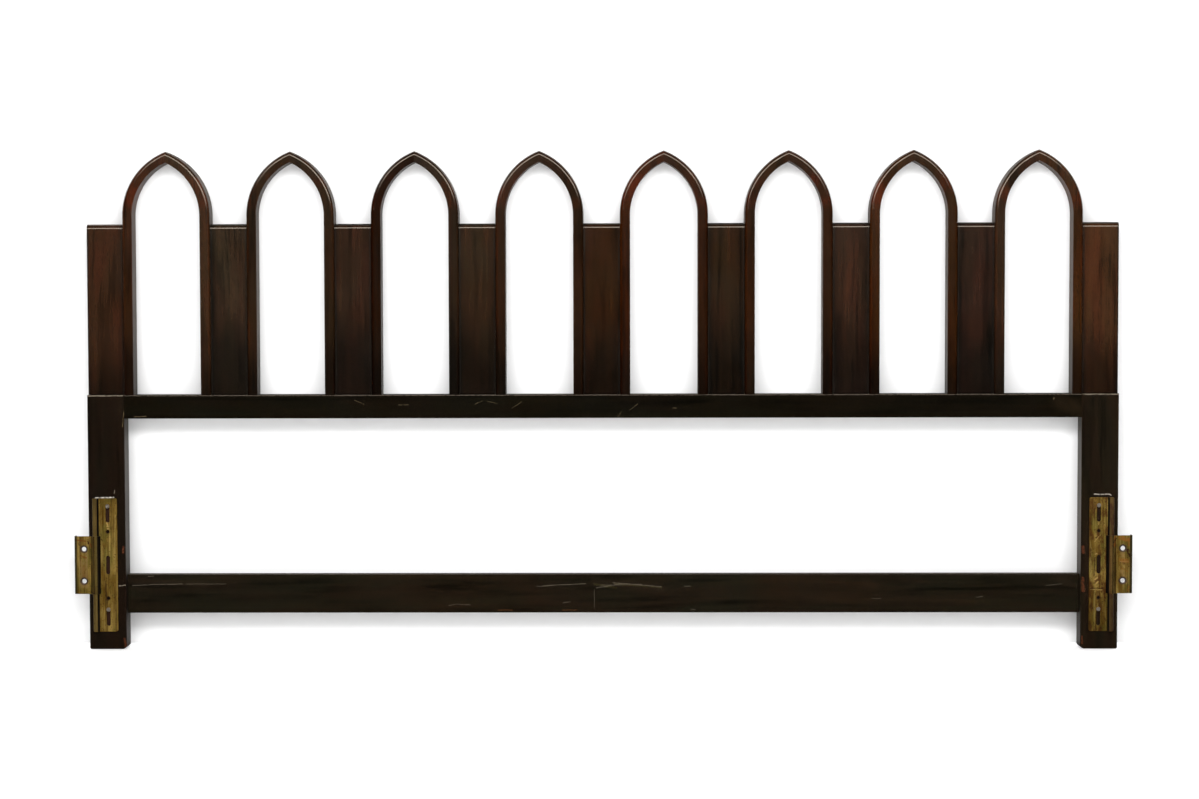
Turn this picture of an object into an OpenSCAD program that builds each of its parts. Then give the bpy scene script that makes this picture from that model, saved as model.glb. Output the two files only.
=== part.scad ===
// King-size wooden headboard: a row of pointed arches and flat panels on a post-and-rail
// frame, with a sliding bed-frame bracket on each post. Millimetres.
// X runs along the width, the front faces -Y, and the feet stand on Z = 0.

/* [Headboard] */
// Width over the two posts
board_w = 1981; // [1975:1:1990]
// Depth of the posts, the upper rail and the arches
wood_t = 38; // [34:1:42]
// Rounding of the long edges
edge_r = 1; // [1:0.5:4]

/* [Posts] */
// Width of each post
post_w = 71; // [66:1:72]
// Rounding of each foot's inner bottom corner
foot_inner_r = 8; // [4:1:12]
// Rounding of each foot's outer bottom corner
foot_outer_r = 4; // [4:1:8]

/* [Rails] */
// Height of the upper rail's underside
upper_rail_z = 446; // [440:0.5:450]
// Height of the upper rail's section
upper_rail_h = 45.5; // [42:0.5:50]
// Height of the lower rail's underside
lower_rail_z = 68.5; // [68:0.5:80]
// Height of the lower rail's section
lower_rail_h = 75; // [65:0.5:80]
// Thickness of the lower rail
lower_rail_t = 19; // [16:1:22]
// Distance from the posts' front down to the lower rail's front
lower_rail_setback = 14; // [8:1:15]
// Length of the tenon at each end of a rail
tenon_l = 45; // [30:1:50]

/* [Arches] */
// Number of arches
arch_count = 8; // [7:1:8]
// Width of the wood that each arch is made of
arch_member = 19.5; // [17:0.5:21]
// Height of the joint between the straight legs and the crown
crown_joint_z = 780; // [770:1:790]
// Height at which the crown starts to curve
springing_z = 835.5; // [825:0.5:845]
// Inner radius of the crown's curve
crown_r = 111.5; // [105:0.5:120]
// Rounding of the outer front edge
arch_outer_r = 7; // [3:0.5:9]

/* [Panels] */
// Width of the panels between the arches
panel_w = 70; // [70:0.5:72]
// Thickness of the panels
panel_t = 19; // [18:1:20]
// Distance from the arches' front down to the panels' front
panel_recess = 6; // [4:0.5:8]
// Height of the panels' rounded top
panel_top_z = 819.5; // [810:0.5:822]
// Gap by which the end panels stop short of the posts' outer faces
end_inset = 1.2; // [0:0.1:3]

/* [Brackets] */
// Thickness of the bracket steel
sheet_t = 2.5; // [2:0.1:3]
// Running clearance between the slider and the plate
slide_gap = 0.3; // [0.3:0.05:0.5]
// Length of the plate on the post
plate_h = 258; // [255:1:262]
// Width of the plate
plate_w = 47.6; // [46:0.1:52]
// Height of the plate's lower end
plate_z = 34.5; // [20:0.5:40]
// Distance from the post's outer face in to the plate
plate_inset = 8; // [5:0.25:9]
// Length of the slider
slider_h = 111.5; // [100:0.5:120]
// Distance that the slider stands out past the post
slider_reach = 27.7; // [26:0.1:32]
// Distance between the slider's two bolt holes
bolt_spacing = 62; // [50:1:70]
// Radius of the bolt holes
bolt_hole_r = 4.4; // [3.5:0.1:5]
// Distance from the slider's outer edge in to the bolt holes
bolt_inset = 19.1; // [16:0.1:20]
// End-to-end length of the plate's slots
slot_l = 36; // [30:1:40]
// Width of the plate's slots
slot_w = 7.5; // [6:0.5:8]
// Distance between the centres of neighbouring slots
slot_pitch = 100; // [95:1:102]

/* [Hidden] */
$fn = 64;
wood = "#3a2418";
dark_wood = "#241a14";
plain_wood = "#b08a5e";
plated_steel = "#8d7a40";
screw_steel = "#8f8f8c";

// Bracket section, measured forward from the post's front face
hook_gap = sheet_t + 2 * slide_gap;
lip_back = sheet_t + hook_gap;
lip_front = lip_back + sheet_t;
web_back = lip_front + slide_gap;
web_front = web_back + sheet_t;
tongue_back = sheet_t + slide_gap;
tongue_l = 6;
flange_back = sheet_t;
flange_front = flange_back + sheet_t;
joggle_w = web_back - flange_back;
return_bend_r = 5;
return_depth = 10;
plate_fold_r = lip_front / 2;
hook_r = (web_front - tongue_back) / 2;
hook_centre = [plate_inset + 9.75, tongue_back + hook_r];
web_edge = plate_inset + 2.2;
plate_inner_r = 4;
plate_outer_r = 3;
slot_inset = 29.25;
pilot_r = 3.2;
pilot_offset = 64.5;
countersink_r = 6.6;
countersink_h = 0.8;
screw_r = 2.4;
screw_head_r = 4.2;
screw_head_h = 2.6;
screw_l = 16;
screw_rise = 13.5;
recess_w = 1.3;
recess_l = 5;
recess_depth = 1.5;

// Depth positions: the bounding box is centred on Y = 0
depth_all = wood_t + web_front;
front_y = -depth_all / 2 + web_front;
back_y = front_y + wood_t;
mid_y = front_y + wood_t / 2;
panel_y = front_y + panel_recess;
panel_mid_y = panel_y + panel_t / 2;
lower_rail_y = front_y + lower_rail_setback;

// Widths and heights
rail_top = upper_rail_z + upper_rail_h;
rail_l = board_w - 2 * post_w;
arch_w = (board_w - (arch_count + 1) * panel_w) / arch_count;
arch_pitch = arch_w + panel_w;
inner_half = arch_w / 2 - arch_member;
outer_half = arch_w / 2;
crown_centre_x = inner_half - crown_r;
crown_sweep = 80;
inner_apex_z = springing_z + sqrt(pow(crown_r, 2) - pow(crown_centre_x, 2));

// Joinery
upper_tenon_h = 24;
upper_tenon_t = 12;
upper_tenon_rise = 3;
lower_tenon_h = 51.5;
lower_tenon_t = 10;
leg_dowel_r = 4.5;
leg_dowel_l = 44;
panel_dowel_r = 4.5;
panel_dowel_up = 26;
panel_dowel_down = 14;
panel_dowel_offset = 20;
edge_dowel_r = 4;
edge_dowel_in_leg = 12;
edge_dowel_in_panel = 18;
edge_dowel_heights = [545, 650, 755];
crown_dowel_r = 4;
crown_dowel_l = 40;
spline_size = [20, 20, 4];
spline_rise = 6;

ARCHES = [1:arch_count];
PANELS = [1:arch_count + 1];
SIDES = [-1, 1];
function side_name(side) = side < 0 ? "left" : "right";
function arch_x(i) = (i - (arch_count + 1) / 2) * arch_pitch;
function panel_x(i) = (i - (arch_count + 2) / 2) * arch_pitch;

// ---- Outlines ----

// Square corner with its round part taken out, to be cut away at the origin
module corner_waste(r) {
    difference() {
        translate([-1, -1]) square(r + 1);
        translate([r, r]) circle(r);
    }
}

// Rectangle from the origin, each corner rounded by its own radius, from the origin's corner
// anticlockwise
module rounded_rectangle(size, radii) {
    corners = [[0, 0], [size[0], 0], [size[0], size[1]], [0, size[1]]];
    difference() {
        square(size);
        for (i = [0:3])
            translate(corners[i]) rotate(90 * i) corner_waste(radii[i]);
    }
}

// Outline in Y and Z pushed along X from 0 to length
module along_x(length) {
    rotate([90, 0, 90]) linear_extrude(height = length) children();
}

// Outline in X and Z pushed along Y through the whole depth
module through_depth() {
    translate([0, back_y + 1, 0]) rotate([90, 0, 0]) linear_extrude(height = wood_t + 2)
        children();
}

// ---- Places of the hidden joinery ----

module leg_dowel_places(i) {
    for (side = SIDES)
        translate([arch_x(i) + side * (outer_half - arch_member / 2), mid_y, rail_top])
            children();
}

module leg_dowel() {
    cylinder(r = leg_dowel_r, h = leg_dowel_l, center = true);
}

module crown_dowel_places(i) {
    for (side = SIDES)
        translate([arch_x(i) + side * (outer_half - arch_member / 2), mid_y, crown_joint_z])
            children();
}

module crown_dowel() {
    cylinder(r = crown_dowel_r, h = crown_dowel_l, center = true);
}

module panel_dowel_places(i) {
    for (side = SIDES)
        translate([panel_x(i) + side * panel_dowel_offset, panel_mid_y,
                   rail_top - panel_dowel_down])
            children();
}

module panel_dowel() {
    cylinder(r = panel_dowel_r, h = panel_dowel_up + panel_dowel_down);
}

module edge_dowel_places(i) {
    for (side = SIDES, z = edge_dowel_heights)
        translate([arch_x(i) + side * outer_half, panel_mid_y, z])
            rotate([0, side * 90, 0]) children();
}

module edge_dowel() {
    translate([0, 0, -edge_dowel_in_leg])
        cylinder(r = edge_dowel_r, h = edge_dowel_in_leg + edge_dowel_in_panel);
}

module crown_spline(i) {
    translate([arch_x(i), mid_y, inner_apex_z + spline_rise + spline_size[2] / 2])
        cube(spline_size, center = true);
}

module upper_tenon(side) {
    translate([side * (rail_l + tenon_l) / 2, mid_y,
               upper_rail_z + upper_tenon_rise + upper_tenon_h / 2])
        cube([tenon_l, upper_tenon_t, upper_tenon_h], center = true);
}

module lower_tenon(side) {
    translate([side * (rail_l + tenon_l) / 2, lower_rail_y + lower_rail_t / 2,
               lower_rail_z + lower_rail_h / 2])
        cube([tenon_l, lower_tenon_t, lower_tenon_h], center = true);
}

// ---- Frame ----

// A post drawn at the left end
module post_blank() {
    intersection() {
        translate([-board_w / 2, front_y, 0]) linear_extrude(height = rail_top)
            rounded_rectangle([post_w, wood_t], [edge_r, edge_r, edge_r, edge_r]);
        translate([-board_w / 2, 0, 0]) along_x(post_w)
            translate([front_y, 0])
                rounded_rectangle([wood_t, rail_top], [edge_r, edge_r, edge_r, edge_r]);
        translate([-board_w / 2, 0, 0]) through_depth()
            rounded_rectangle([post_w, rail_top], [foot_outer_r, foot_inner_r, 0.5, 0.5]);
    }
}

module post(side) {
    end_panel = side < 0 ? 1 : arch_count + 1;
    color(dark_wood)
    difference() {
        mirror([side > 0 ? 1 : 0, 0, 0]) post_blank();
        upper_tenon(side);
        lower_tenon(side);
        panel_dowel_places(end_panel) panel_dowel();
        screw_places(side) screw_shank();
    }
}

// Flush blocks that carry the arches' feet across the rail's rounded top edge
module leg_lands() {
    intersection() {
        for (i = ARCHES, side = SIDES)
            translate([arch_x(i) + side * (outer_half - arch_member / 2) - arch_member / 2,
                       front_y, rail_top - edge_r - 1])
                cube([arch_member, edge_r + 1, edge_r + 1]);
        translate([-rail_l / 2, front_y, 0]) cube([rail_l, wood_t, rail_top]);
    }
}

module upper_rail() {
    color(dark_wood)
    difference() {
        union() {
            translate([-rail_l / 2, 0, 0]) along_x(rail_l)
                translate([front_y, upper_rail_z])
                    rounded_rectangle([wood_t, upper_rail_h], [edge_r, edge_r, edge_r, edge_r]);
            leg_lands();
            for (side = SIDES) upper_tenon(side);
        }
        for (i = ARCHES) leg_dowel_places(i) leg_dowel();
        for (i = PANELS) panel_dowel_places(i) panel_dowel();
    }
}

module lower_rail() {
    color(dark_wood)
    union() {
        translate([-rail_l / 2, 0, 0]) along_x(rail_l)
            translate([lower_rail_y, lower_rail_z])
                rounded_rectangle([lower_rail_t, lower_rail_h], [edge_r, edge_r, edge_r, edge_r]);
        for (side = SIDES) lower_tenon(side);
    }
}

// ---- Arches ----

// Section across the arch's wood: 0 is the opening's side, and the front is down
module arch_section() {
    rounded_rectangle([arch_member, wood_t], [edge_r, arch_outer_r, 2, 2]);
}

// Straight length of the arch's right side between two heights
module straight_member(low, high) {
    translate([inner_half, front_y, low]) linear_extrude(height = high - low) arch_section();
}

// Part of a ring around the Y axis, from the X direction upwards
module curved_member(radius, angle) {
    rotate([90, 0, 0]) rotate_extrude(angle = angle, $fn = 128)
        translate([radius, -front_y]) mirror([0, 1]) arch_section();
}

// The right half of a crown, with its mitre at X = 0
module crown_half() {
    difference() {
        union() {
            straight_member(crown_joint_z, springing_z);
            translate([crown_centre_x, 0, springing_z]) curved_member(crown_r, crown_sweep);
        }
        translate([-outer_half, front_y - 1, springing_z])
            cube([outer_half, wood_t + 2, arch_w]);
    }
}

module arch_leg(i, side) {
    color(wood)
    difference() {
        translate([arch_x(i), 0, 0]) mirror([side < 0 ? 1 : 0, 0, 0])
            straight_member(rail_top, crown_joint_z);
        leg_dowel_places(i) leg_dowel();
        crown_dowel_places(i) crown_dowel();
        edge_dowel_places(i) edge_dowel();
    }
}

module arch_crown(i, side) {
    color(wood)
    difference() {
        translate([arch_x(i), 0, 0]) mirror([side < 0 ? 1 : 0, 0, 0]) crown_half();
        crown_dowel_places(i) crown_dowel();
        crown_spline(i);
    }
}

// ---- Panels ----

module panel_profile() {
    translate([panel_y, rail_top])
        rounded_rectangle([panel_t, panel_top_z - rail_top],
                          [2, 0.5, panel_t / 2, panel_t / 2]);
}

// Blank of a panel centred on X = 0, with its outer side trimmed and rounded at an end
module panel_blank(end) {
    trim = end == 0 ? 0 : end_inset;
    outer_r = end == 0 ? 0.5 : edge_r;
    intersection() {
        translate([-panel_w / 2, 0, 0]) along_x(panel_w) panel_profile();
        mirror([end > 0 ? 1 : 0, 0, 0])
            translate([-panel_w / 2 + trim, panel_y, rail_top])
                linear_extrude(height = panel_top_z - rail_top)
                    rounded_rectangle([panel_w - trim, panel_t], [outer_r, 0.5, 0.5, outer_r]);
    }
}

module panel(i) {
    end = i == 1 ? -1 : i == arch_count + 1 ? 1 : 0;
    color(wood)
    difference() {
        translate([panel_x(i), 0, 0]) panel_blank(end);
        panel_dowel_places(i) panel_dowel();
        if (i > 1) edge_dowel_places(i - 1) edge_dowel();
        if (i <= arch_count) edge_dowel_places(i) edge_dowel();
    }
}

// ---- Dowels and splines inside the joints ----

module leg_dowels() {
    color(plain_wood) for (i = ARCHES) leg_dowel_places(i) leg_dowel();
}

module crown_dowels() {
    color(plain_wood) for (i = ARCHES) crown_dowel_places(i) crown_dowel();
}

module crown_splines() {
    color(plain_wood) for (i = ARCHES) crown_spline(i);
}

module panel_dowels() {
    color(plain_wood) for (i = PANELS) panel_dowel_places(i) panel_dowel();
}

module edge_dowels() {
    color(plain_wood) for (i = ARCHES) edge_dowel_places(i) edge_dowel();
}

// ---- Brackets ----
// Their sections are drawn with X from the post's outer face inwards and Y forward from the
// post's front face, and then set on the left post.

module bracket_place(side) {
    mirror([side > 0 ? 1 : 0, 0, 0]) translate([-board_w / 2, front_y, plate_z])
        mirror([0, 1, 0]) children();
}

// Half of a flat ring, on the side where X is below the centre
module half_ring(r) {
    difference() {
        circle(r);
        circle(r - sheet_t);
        translate([0, -r - 1]) square(2 * r + 2);
    }
}

// The plate lies flat on the post, and its outer side is folded over into a lip
module plate_section() {
    translate([plate_inset + plate_fold_r, 0])
        square([plate_w - plate_fold_r, sheet_t]);
    translate([plate_inset + plate_fold_r, plate_fold_r]) half_ring(plate_fold_r);
    translate([plate_inset + plate_fold_r, lip_back])
        square([hook_centre[0] - plate_inset - plate_fold_r, sheet_t]);
    translate([hook_centre[0], lip_back + sheet_t / 2]) circle(sheet_t / 2);
}

module slot_hole() {
    for (z = [-1, 1])
        translate([0, 0, z * (slot_l - slot_w) / 2]) rotate([-90, 0, 0])
            translate([0, 0, -1]) cylinder(d = slot_w, h = sheet_t + 2);
    translate([-slot_w / 2, -1, -(slot_l - slot_w) / 2])
        cube([slot_w, sheet_t + 2, slot_l - slot_w]);
}

module pilot_hole() {
    rotate([-90, 0, 0]) translate([0, 0, -1]) cylinder(r = pilot_r, h = sheet_t + 2);
}

module bracket_plate(side) {
    color(plated_steel)
    bracket_place(side) difference() {
        intersection() {
            linear_extrude(height = plate_h) plate_section();
            translate([plate_inset, lip_front + 1, 0]) rotate([90, 0, 0])
                linear_extrude(height = lip_front + 2)
                    rounded_rectangle([plate_w, plate_h],
                        [plate_outer_r, plate_inner_r, plate_inner_r, plate_outer_r]);
        }
        translate([plate_inset + slot_inset, 0, plate_h / 2]) {
            for (z = [-1:1]) translate([0, 0, z * slot_pitch]) slot_hole();
            for (z = [-1, 1]) translate([0, 0, z * pilot_offset]) pilot_hole();
        }
    }
}

// The slider hooks round the plate's lip, steps back to a flat flange outside the post, and
// ends in an edge bent backwards
module slider_section() {
    flange_edge = -slider_reach + return_bend_r;
    return_y = flange_front - return_bend_r;
    translate([hook_centre[0] - tongue_l, tongue_back]) square([tongue_l, sheet_t]);
    translate(hook_centre) mirror([1, 0]) half_ring(hook_r);
    translate([web_edge, web_back]) square([hook_centre[0] - web_edge, sheet_t]);
    polygon([[web_edge, web_back], [web_edge, web_front],
             [web_edge - joggle_w, flange_front], [web_edge - joggle_w, flange_back]]);
    translate([flange_edge, flange_back])
        square([web_edge - joggle_w - flange_edge, sheet_t]);
    intersection() {
        translate([flange_edge, return_y]) half_ring(return_bend_r);
        translate([-slider_reach - 1, return_y]) square(return_bend_r + 1);
    }
    translate([-slider_reach, return_y - return_depth]) square([sheet_t, return_depth]);
}

module bolt_hole() {
    rotate([-90, 0, 0]) {
        translate([0, 0, flange_back - 1]) cylinder(r = bolt_hole_r, h = sheet_t + 2);
        translate([0, 0, flange_front - countersink_h])
            cylinder(r1 = bolt_hole_r, r2 = countersink_r, h = countersink_h);
    }
}

module bracket_slider(side) {
    color(plated_steel)
    bracket_place(side) translate([0, 0, plate_h / 2]) difference() {
        translate([0, 0, -slider_h / 2]) linear_extrude(height = slider_h) slider_section();
        for (z = [-1, 1])
            translate([bolt_inset - slider_reach, 0, z * bolt_spacing / 2]) bolt_hole();
    }
}

// Places of the two mounting screws, high in the top and bottom slots
module screw_places(side) {
    bracket_place(side)
        for (z = [-1, 1])
            translate([plate_inset + slot_inset, 0, plate_h / 2 + z * slot_pitch + screw_rise])
                rotate([-90, 0, 0]) children();
}

module screw_shank() {
    translate([0, 0, -screw_l]) cylinder(r = screw_r, h = screw_l + sheet_t);
}

module screw() {
    screw_shank();
    translate([0, 0, sheet_t]) difference() {
        cylinder(r1 = screw_head_r, r2 = screw_head_r - 1, h = screw_head_h);
        for (turn = [0, 90])
            rotate(turn) translate([-recess_l / 2, -recess_w / 2, screw_head_h - recess_depth])
                cube([recess_l, recess_w, recess_depth + 1]);
    }
}

module bracket_screws(side) {
    color(screw_steel) screw_places(side) screw();
}

// ---- Nodes ----

post(-1);  // post_left
post(1);  // post_right
upper_rail();
lower_rail();
for (i = ARCHES, side = SIDES) {
    arch_leg(i, side);
    arch_crown(i, side);
}
for (i = PANELS)
    panel(i);
leg_dowels();
crown_dowels();
crown_splines();
panel_dowels();
edge_dowels();
for (side = SIDES) {
    bracket_plate(side);
    bracket_slider(side);
    bracket_screws(side);
}
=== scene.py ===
"""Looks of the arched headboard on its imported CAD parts: lacquered dark wood and plated steel brackets.

Lengths are in metres. Only the wear marks' own numbers are in millimetres.
"""
import math

import bpy
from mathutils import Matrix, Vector


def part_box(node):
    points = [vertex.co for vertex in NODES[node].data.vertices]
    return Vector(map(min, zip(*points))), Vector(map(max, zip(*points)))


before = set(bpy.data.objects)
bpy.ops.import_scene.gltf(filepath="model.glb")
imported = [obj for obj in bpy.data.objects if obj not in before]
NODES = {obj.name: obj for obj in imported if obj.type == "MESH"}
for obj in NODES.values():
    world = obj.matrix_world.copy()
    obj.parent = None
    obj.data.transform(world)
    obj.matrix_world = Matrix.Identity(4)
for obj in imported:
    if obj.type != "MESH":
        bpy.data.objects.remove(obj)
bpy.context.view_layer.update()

SIDES = {"left": -1, "right": 1}
POST_OUTER_X = {"left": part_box("post_left")[0].x, "right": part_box("post_right")[1].x}
POST_INNER_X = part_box("post_left")[1].x
BACK_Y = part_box("post_left")[1].y
ARCH_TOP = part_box("arch_1_crown_left")[1].z


# ---- Small helpers for node trees ----

class Graph:
    """A node tree that is built by calls which take numbers, vectors or other nodes' sockets."""

    def __init__(self, tree):
        self.tree = tree

    def node(self, kind, sockets=None, out=0, **settings):
        n = self.tree.nodes.new(kind)
        for key, value in settings.items():
            setattr(n, key, value)
        for key, value in (sockets or {}).items():
            self.feed(n.inputs[key], value)
        return n.outputs[out] if n.outputs else n

    def feed(self, socket, value):
        if isinstance(value, bpy.types.NodeSocket):
            self.tree.links.new(value, socket)
        elif value is not None:
            socket.default_value = value

    def math(self, operation, a, b=None, c=None, clamp=False):
        return self.node("ShaderNodeMath", {0: a, 1: b, 2: c}, operation=operation, use_clamp=clamp)

    def vector_math(self, operation, a, b=None, out=0):
        return self.node("ShaderNodeVectorMath", {0: a, 1: b}, out=out, operation=operation)

    def noise(self, vector, scale=1.0, detail=3.0, roughness=0.5, distortion=0.0):
        return self.node("ShaderNodeTexNoise", {"Vector": vector, "Scale": scale, "Detail": detail,
                                                "Roughness": roughness, "Distortion": distortion})

    def smooth(self, value, low, high, to_low=0.0, to_high=1.0):
        """value from low to high goes smoothly from to_low to to_high."""
        sockets = {"Value": value, "From Min": low, "From Max": high, "To Min": to_low, "To Max": to_high}
        return self.node("ShaderNodeMapRange", sockets, interpolation_type="SMOOTHSTEP")

    def mix(self, share, a, b, blend="MIX"):
        n = self.tree.nodes.new("ShaderNodeMix")
        n.data_type, n.blend_type, n.clamp_factor = "RGBA", blend, True
        self.feed(n.inputs["Factor"], share)
        self.feed(n.inputs["A"], a)
        self.feed(n.inputs["B"], b)
        return n.outputs["Result"]

    def stretched(self, vector, scale, shift=0.0):
        """vector with each axis scaled on its own, and moved to another part of the pattern."""
        return self.node("ShaderNodeMapping", {"Vector": vector, "Scale": scale,
                                               "Location": (shift, shift * 1.7, shift * 2.3)})

    def split(self, vector):
        n = self.tree.nodes.new("ShaderNodeSeparateXYZ")
        self.feed(n.inputs[0], vector)
        return n.outputs["X"], n.outputs["Y"], n.outputs["Z"]

    def place(self):
        """The point being shaded, in its part's own axes, which at rest are the shared frame's."""
        return self.node("ShaderNodeTexCoord", out="Object")

    def normal(self):
        return self.node("ShaderNodeTexCoord", out="Normal")


def srgb(r, g, b):
    """A colour given as 0 to 255 sRGB values, as the linear colour that sockets take."""
    channels = [c / 255 for c in (r, g, b)]
    return tuple(c / 12.92 if c <= 0.04045 else ((c + 0.055) / 1.055) ** 2.4 for c in channels) + (1.0,)


def new_material(name):
    material = bpy.data.materials.new(name)
    material.use_nodes = True
    material.node_tree.nodes.clear()
    return material, Graph(material.node_tree)


def finish_material(g, sockets):
    shader = g.node("ShaderNodeBsdfPrincipled", sockets)
    g.node("ShaderNodeOutputMaterial", {"Surface": shader})


# ---- Wood ----

# How finely each layer of the grain is drawn: across the board twice, then along it
SWAY = (2.0, 2.0, 3.0)
CLOUDS = (26.0, 26.0, 4.0)
STREAKS = (130.0, 130.0, 4.0)
FIBRES = (700.0, 700.0, 24.0)
PORES = (1900.0, 1900.0, 95.0)
HUES = (34.0, 34.0, 7.0)
BLOTCHES = (9.0, 9.0, 9.0)
SWAY_WIDTH = (0.016, 0.016, 0.0)
MIDDLE_TONE = 0.48
# Every board starts in its own part of the pattern, its seed times this
SEED_STEP = (0.37, 0.61, 0.83)

# The wood's colour is multiplied by these
DARK_GRAIN = (0.3, 0.34, 0.34, 1.0)
LIGHT_GRAIN = (1.55, 1.45, 1.3, 1.0)
REDDISH = (1.08, 0.93, 0.82, 1.0)
OLIVE = (0.88, 0.98, 0.86, 1.0)
IN_PORES = (0.3, 0.3, 0.35, 1.0)
# Multiplied in for real grime, and also for painted shade in recesses, creases and along top edges
GRIME_AND_SHADE = (0.2, 0.21, 0.21, 1.0)
# Lightens rounded edges, as thin worn stain and also as a painted highlight
THIN_STAIN_AND_SHEEN = (1.8, 1.3, 1.05, 1.0)
# Reddens the crowns' shoulders, as worn finish and also as a painted highlight
WORN_RED_AND_SHEEN = (1.9, 1.1, 0.9, 1.0)
COOL, WARM = (0.75, 1.0, 1.1, 1.0), (1.35, 1.0, 0.85, 1.0)

AMBER = (1.0, 0.86, 0.7, 1.0)  # the lacquer has yellowed, so its shine is warm
SIDE_DULLNESS, TOP_DULLNESS = 0.42, 0.3  # added to the roughness
GRAIN_DEPTH, GRAIN_RELIEF = 0.00012, 0.15
UPRIGHT, LEVEL = (0.0, 0.0, 0.0), (0.0, math.radians(90), 0.0)


def wood_group():
    """The colour, in shades of one tint, the roughness and the height of wood with its grain along Z."""
    tree = bpy.data.node_groups.new("stained_grain", "ShaderNodeTree")
    face = tree.interface
    face.new_socket("Vector", in_out="INPUT", socket_type="NodeSocketVector")
    face.new_socket("Tint", in_out="INPUT", socket_type="NodeSocketColor")
    face.new_socket("Figure", in_out="INPUT", socket_type="NodeSocketFloat")
    face.new_socket("Color", in_out="OUTPUT", socket_type="NodeSocketColor")
    face.new_socket("Roughness", in_out="OUTPUT", socket_type="NodeSocketFloat")
    face.new_socket("Height", in_out="OUTPUT", socket_type="NodeSocketFloat")
    g = Graph(tree)
    inside = tree.nodes.new("NodeGroupInput").outputs
    vector, tint, figure = inside["Vector"], inside["Tint"], inside["Figure"]
    # The grain wanders a little sideways along its length
    sway = g.noise(g.stretched(vector, SWAY), detail=1.0)
    sway = g.node("ShaderNodeCombineXYZ", {"X": sway, "Y": sway, "Z": 0.0})
    grain = g.vector_math("ADD", vector, g.vector_math("MULTIPLY", sway, SWAY_WIDTH))
    clouds = g.noise(g.stretched(grain, CLOUDS), detail=3.0, distortion=0.8)
    streaks = g.noise(g.stretched(grain, STREAKS), detail=3.0)
    fibres = g.noise(g.stretched(grain, FIBRES), detail=2.0)
    pores = g.noise(g.stretched(grain, PORES), detail=0.0)
    pore = g.smooth(pores, 0.62, 0.72)
    hues = g.noise(g.stretched(grain, HUES, 3.0), detail=2.0)
    # The layers add up to one tone, from dark at 0 to light at 1
    tone = MIDDLE_TONE
    for layer, contrast in ((clouds, 1.15), (streaks, 1.3), (fibres, 0.6)):
        tone = g.math("MULTIPLY_ADD", g.math("SUBTRACT", layer, 0.5), contrast, tone)
    tone = g.math("MULTIPLY_ADD", g.math("SUBTRACT", tone, 0.5), figure, 0.5, clamp=True)
    dark = g.mix(1.0, tint, DARK_GRAIN, "MULTIPLY")
    light = g.mix(1.0, tint, LIGHT_GRAIN, "MULTIPLY")
    colour = g.mix(g.smooth(tone, 0.1, 0.52), dark, tint)
    colour = g.mix(g.smooth(tone, 0.5, 0.95), colour, light)
    # Some of it leans to red, and some to olive
    reddish = g.mix(1.0, colour, REDDISH, "MULTIPLY")
    olive = g.mix(1.0, colour, OLIVE, "MULTIPLY")
    colour = g.mix(g.smooth(hues, 0.35, 0.65), reddish, olive)
    colour = g.mix(g.math("MULTIPLY", pore, 0.5), colour, IN_PORES, "MULTIPLY")
    blotches = g.noise(g.stretched(vector, BLOTCHES), detail=4.0)
    roughness = g.smooth(blotches, 0.3, 0.7, 0.14, 0.19)
    roughness = g.math("MULTIPLY_ADD", pore, 0.03, roughness)
    height = g.math("MULTIPLY_ADD", pore, -0.6, g.math("MULTIPLY", fibres, 0.5))
    out = tree.nodes.new("NodeGroupOutput").inputs
    g.feed(out["Color"], colour)
    g.feed(out["Roughness"], roughness)
    g.feed(out["Height"], height)
    return tree


WOOD_GROUP = wood_group()


def add_marks(g, place, seed, colour, roughness, marks):
    """The colour and roughness after marks, functions that add grime, wear and scratches in order."""
    for mark in marks:
        share, paint, blend, rough = mark(g, place, seed)
        colour = g.mix(share, colour, paint, blend)
        if rough:
            roughness = g.math("MULTIPLY_ADD", share, rough, roughness, clamp=True)
    return colour, roughness


def wood(name, seed, tint, figure=0.8, turn=UPRIGHT, marks=()):
    """Lacquered wood for one board. figure is how strongly its grain shows."""
    material, g = new_material(name)
    place = g.place()
    along = g.node("ShaderNodeMapping", {"Vector": place, "Rotation": turn,
                                         "Location": [seed * step for step in SEED_STEP]})
    grain = g.tree.nodes.new("ShaderNodeGroup")
    grain.node_tree = WOOD_GROUP
    for key, value in (("Vector", along), ("Tint", srgb(*tint)), ("Figure", figure)):
        g.feed(grain.inputs[key], value)
    colour, roughness = grain.outputs["Color"], grain.outputs["Roughness"]
    colour, roughness = add_marks(g, place, seed, colour, roughness, marks)
    # Only the faces that look forward or back were rubbed down to a shine
    _, ny, nz = g.split(g.normal())
    roughness = g.math("ADD", g.smooth(g.math("ABSOLUTE", ny), 0.1, 0.4, SIDE_DULLNESS, 0.0), roughness)
    roughness = g.math("ADD", g.smooth(nz, 0.6, 0.95, 0.0, TOP_DULLNESS), roughness, clamp=True)
    relief = g.node("ShaderNodeBump", {"Height": grain.outputs["Height"], "Distance": GRAIN_DEPTH,
                                       "Strength": GRAIN_RELIEF})
    finish_material(g, {"Base Color": colour, "Roughness": roughness, "Normal": relief, "IOR": 1.5,
                        "Specular Tint": AMBER})
    return material


def dark_foot(level, strength=0.9, spread=0.075, swing=0.22):
    """Grime that fades in below the level, with an uneven border."""
    def mark(g, place, seed):
        wobble = g.noise(g.stretched(place, (22.0, 22.0, 7.0), seed), detail=3.0)
        height = g.math("MULTIPLY_ADD", g.math("SUBTRACT", wobble, 0.5), swing, g.split(place)[2])
        return g.smooth(height, level - spread, level + spread, strength, 0.0), GRIME_AND_SHADE, "MULTIPLY", 0.03
    return mark


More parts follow.
